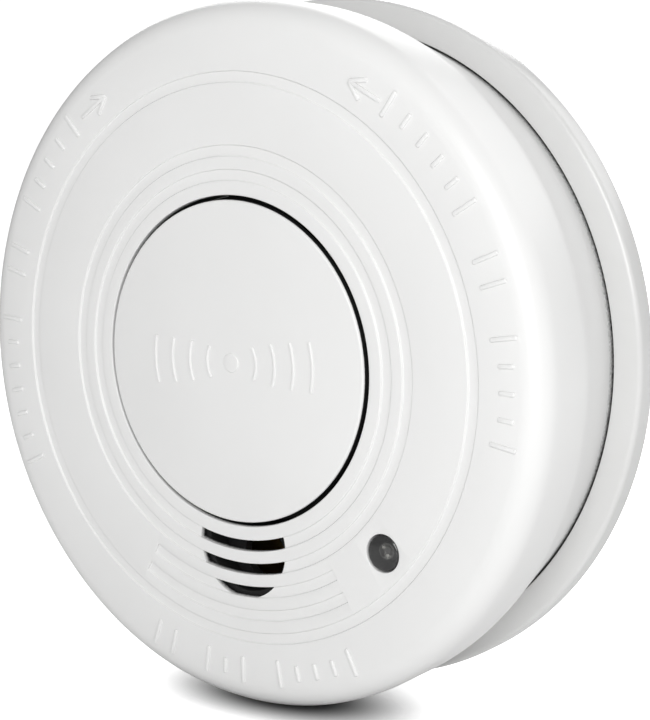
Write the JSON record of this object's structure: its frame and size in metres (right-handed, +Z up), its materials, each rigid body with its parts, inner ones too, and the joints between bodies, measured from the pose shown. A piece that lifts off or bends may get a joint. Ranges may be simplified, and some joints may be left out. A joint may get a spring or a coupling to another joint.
{
  "type": "smoke detector",
  "caption": "Round battery smoke alarm head with a push-to-test button, sounder slots and status light, twist-locked onto a round mounting plate.",
  "frame": {"origin": "centre of the mounting face, on the axis of the plate and the head", "axes": "+Z up as mounted on a wall, +Y into the wall, so the front faces -Y; +X to the right seen from the front"},
  "size_m": [0.112, 0.0306, 0.112],
  "materials": {
    "shell_white": "satin moulded white",
    "plate_white": "satin moulded white, a shade greyer",
    "button_white": "satin moulded white",
    "chassis_white": "matt moulded off-white",
    "black_plastic": "matt black",
    "black_mesh": "fine black mesh",
    "smoky_lens": "smoky grey translucent resin",
    "clear_lens": "clear pale blue resin",
    "dark_lens": "near-black infrared resin",
    "board_green": "green solder mask",
    "screw_steel": "zinc-plated steel",
    "tinned_wire": "tinned",
    "mesh_steel": "woven stainless mesh",
    "disc_brass": "brushed brass",
    "ceramic": "silvered ceramic",
    "switch_body": "matt black",
    "plunger_tan": "brown moulded",
    "chip_black": "matt black epoxy",
    "can_sleeve": "dark blue sleeve",
    "coil_copper": "enamelled copper on ferrite",
    "resistor_body": "beige lacquer",
    "battery_can": "plain dark jacket",
    "lead_red": "red insulation",
    "lead_black": "black insulation"
  },
  "bodies": {
    "mounting_base": {"mounting_plate": "plate_white"},
    "alarm_head": {"front_cover": "shell_white", "rear_chassis": "chassis_white", "case_screws": "screw_steel", "vent_screen": "black_mesh", "button_spring": "tinned_wire", "test_switch": "switch_body", "status_led": "smoky_lens", "led_leads": "tinned_wire", "led_spacer": "black_plastic", "circuit_board": "board_green", "board_screws": "screw_steel", "chamber_base": "black_plastic", "chamber_labyrinth": "black_plastic", "chamber_cap": "black_plastic", "insect_screen": "mesh_steel", "infrared_emitter": "clear_lens", "photodiode": "dark_lens", "sounder_housing": "black_plastic", "piezo_disc": "disc_brass", "piezo_ceramic": "ceramic", "sounder_contacts": "tinned_wire", "control_chip": "chip_black", "chip_pins": "tinned_wire", "capacitors": "can_sleeve", "inductor": "coil_copper", "resistors": "resistor_body", "transistor": "chip_black", "battery": "battery_can", "battery_terminals": "tinned_wire", "contact_plate": "black_plastic", "snap_contacts": "tinned_wire", "red_lead": "lead_red", "black_lead": "lead_black"},
    "push_button": {"test_button": "button_white", "button_clip": "screw_steel"},
    "switch_pin": {"switch_plunger": "plunger_tan"}
  },
  "joints": [
    {"name": "twist_lock", "type": "hinge", "parent": "mounting_base", "child": "alarm_head", "pos_m": [0, 0, 0], "axis": [0, -1, 0], "range_deg": [0, 15]},
    {"name": "test_press", "type": "slide", "parent": "alarm_head", "child": "push_button", "axis": [0, 1, 0], "range_m": [0, 0.001], "stiffness_N_per_m": 1500, "springref_m": -0.001, "deforming": ["button_spring"]},
    {"name": "switch_press", "type": "slide", "parent": "alarm_head", "child": "switch_pin", "axis": [0, 1, 0], "range_m": [0, 0.001]}
  ],
  "couplings": [
    {"joint": "switch_press", "follows": "test_press", "ratio": 1}
  ]
}
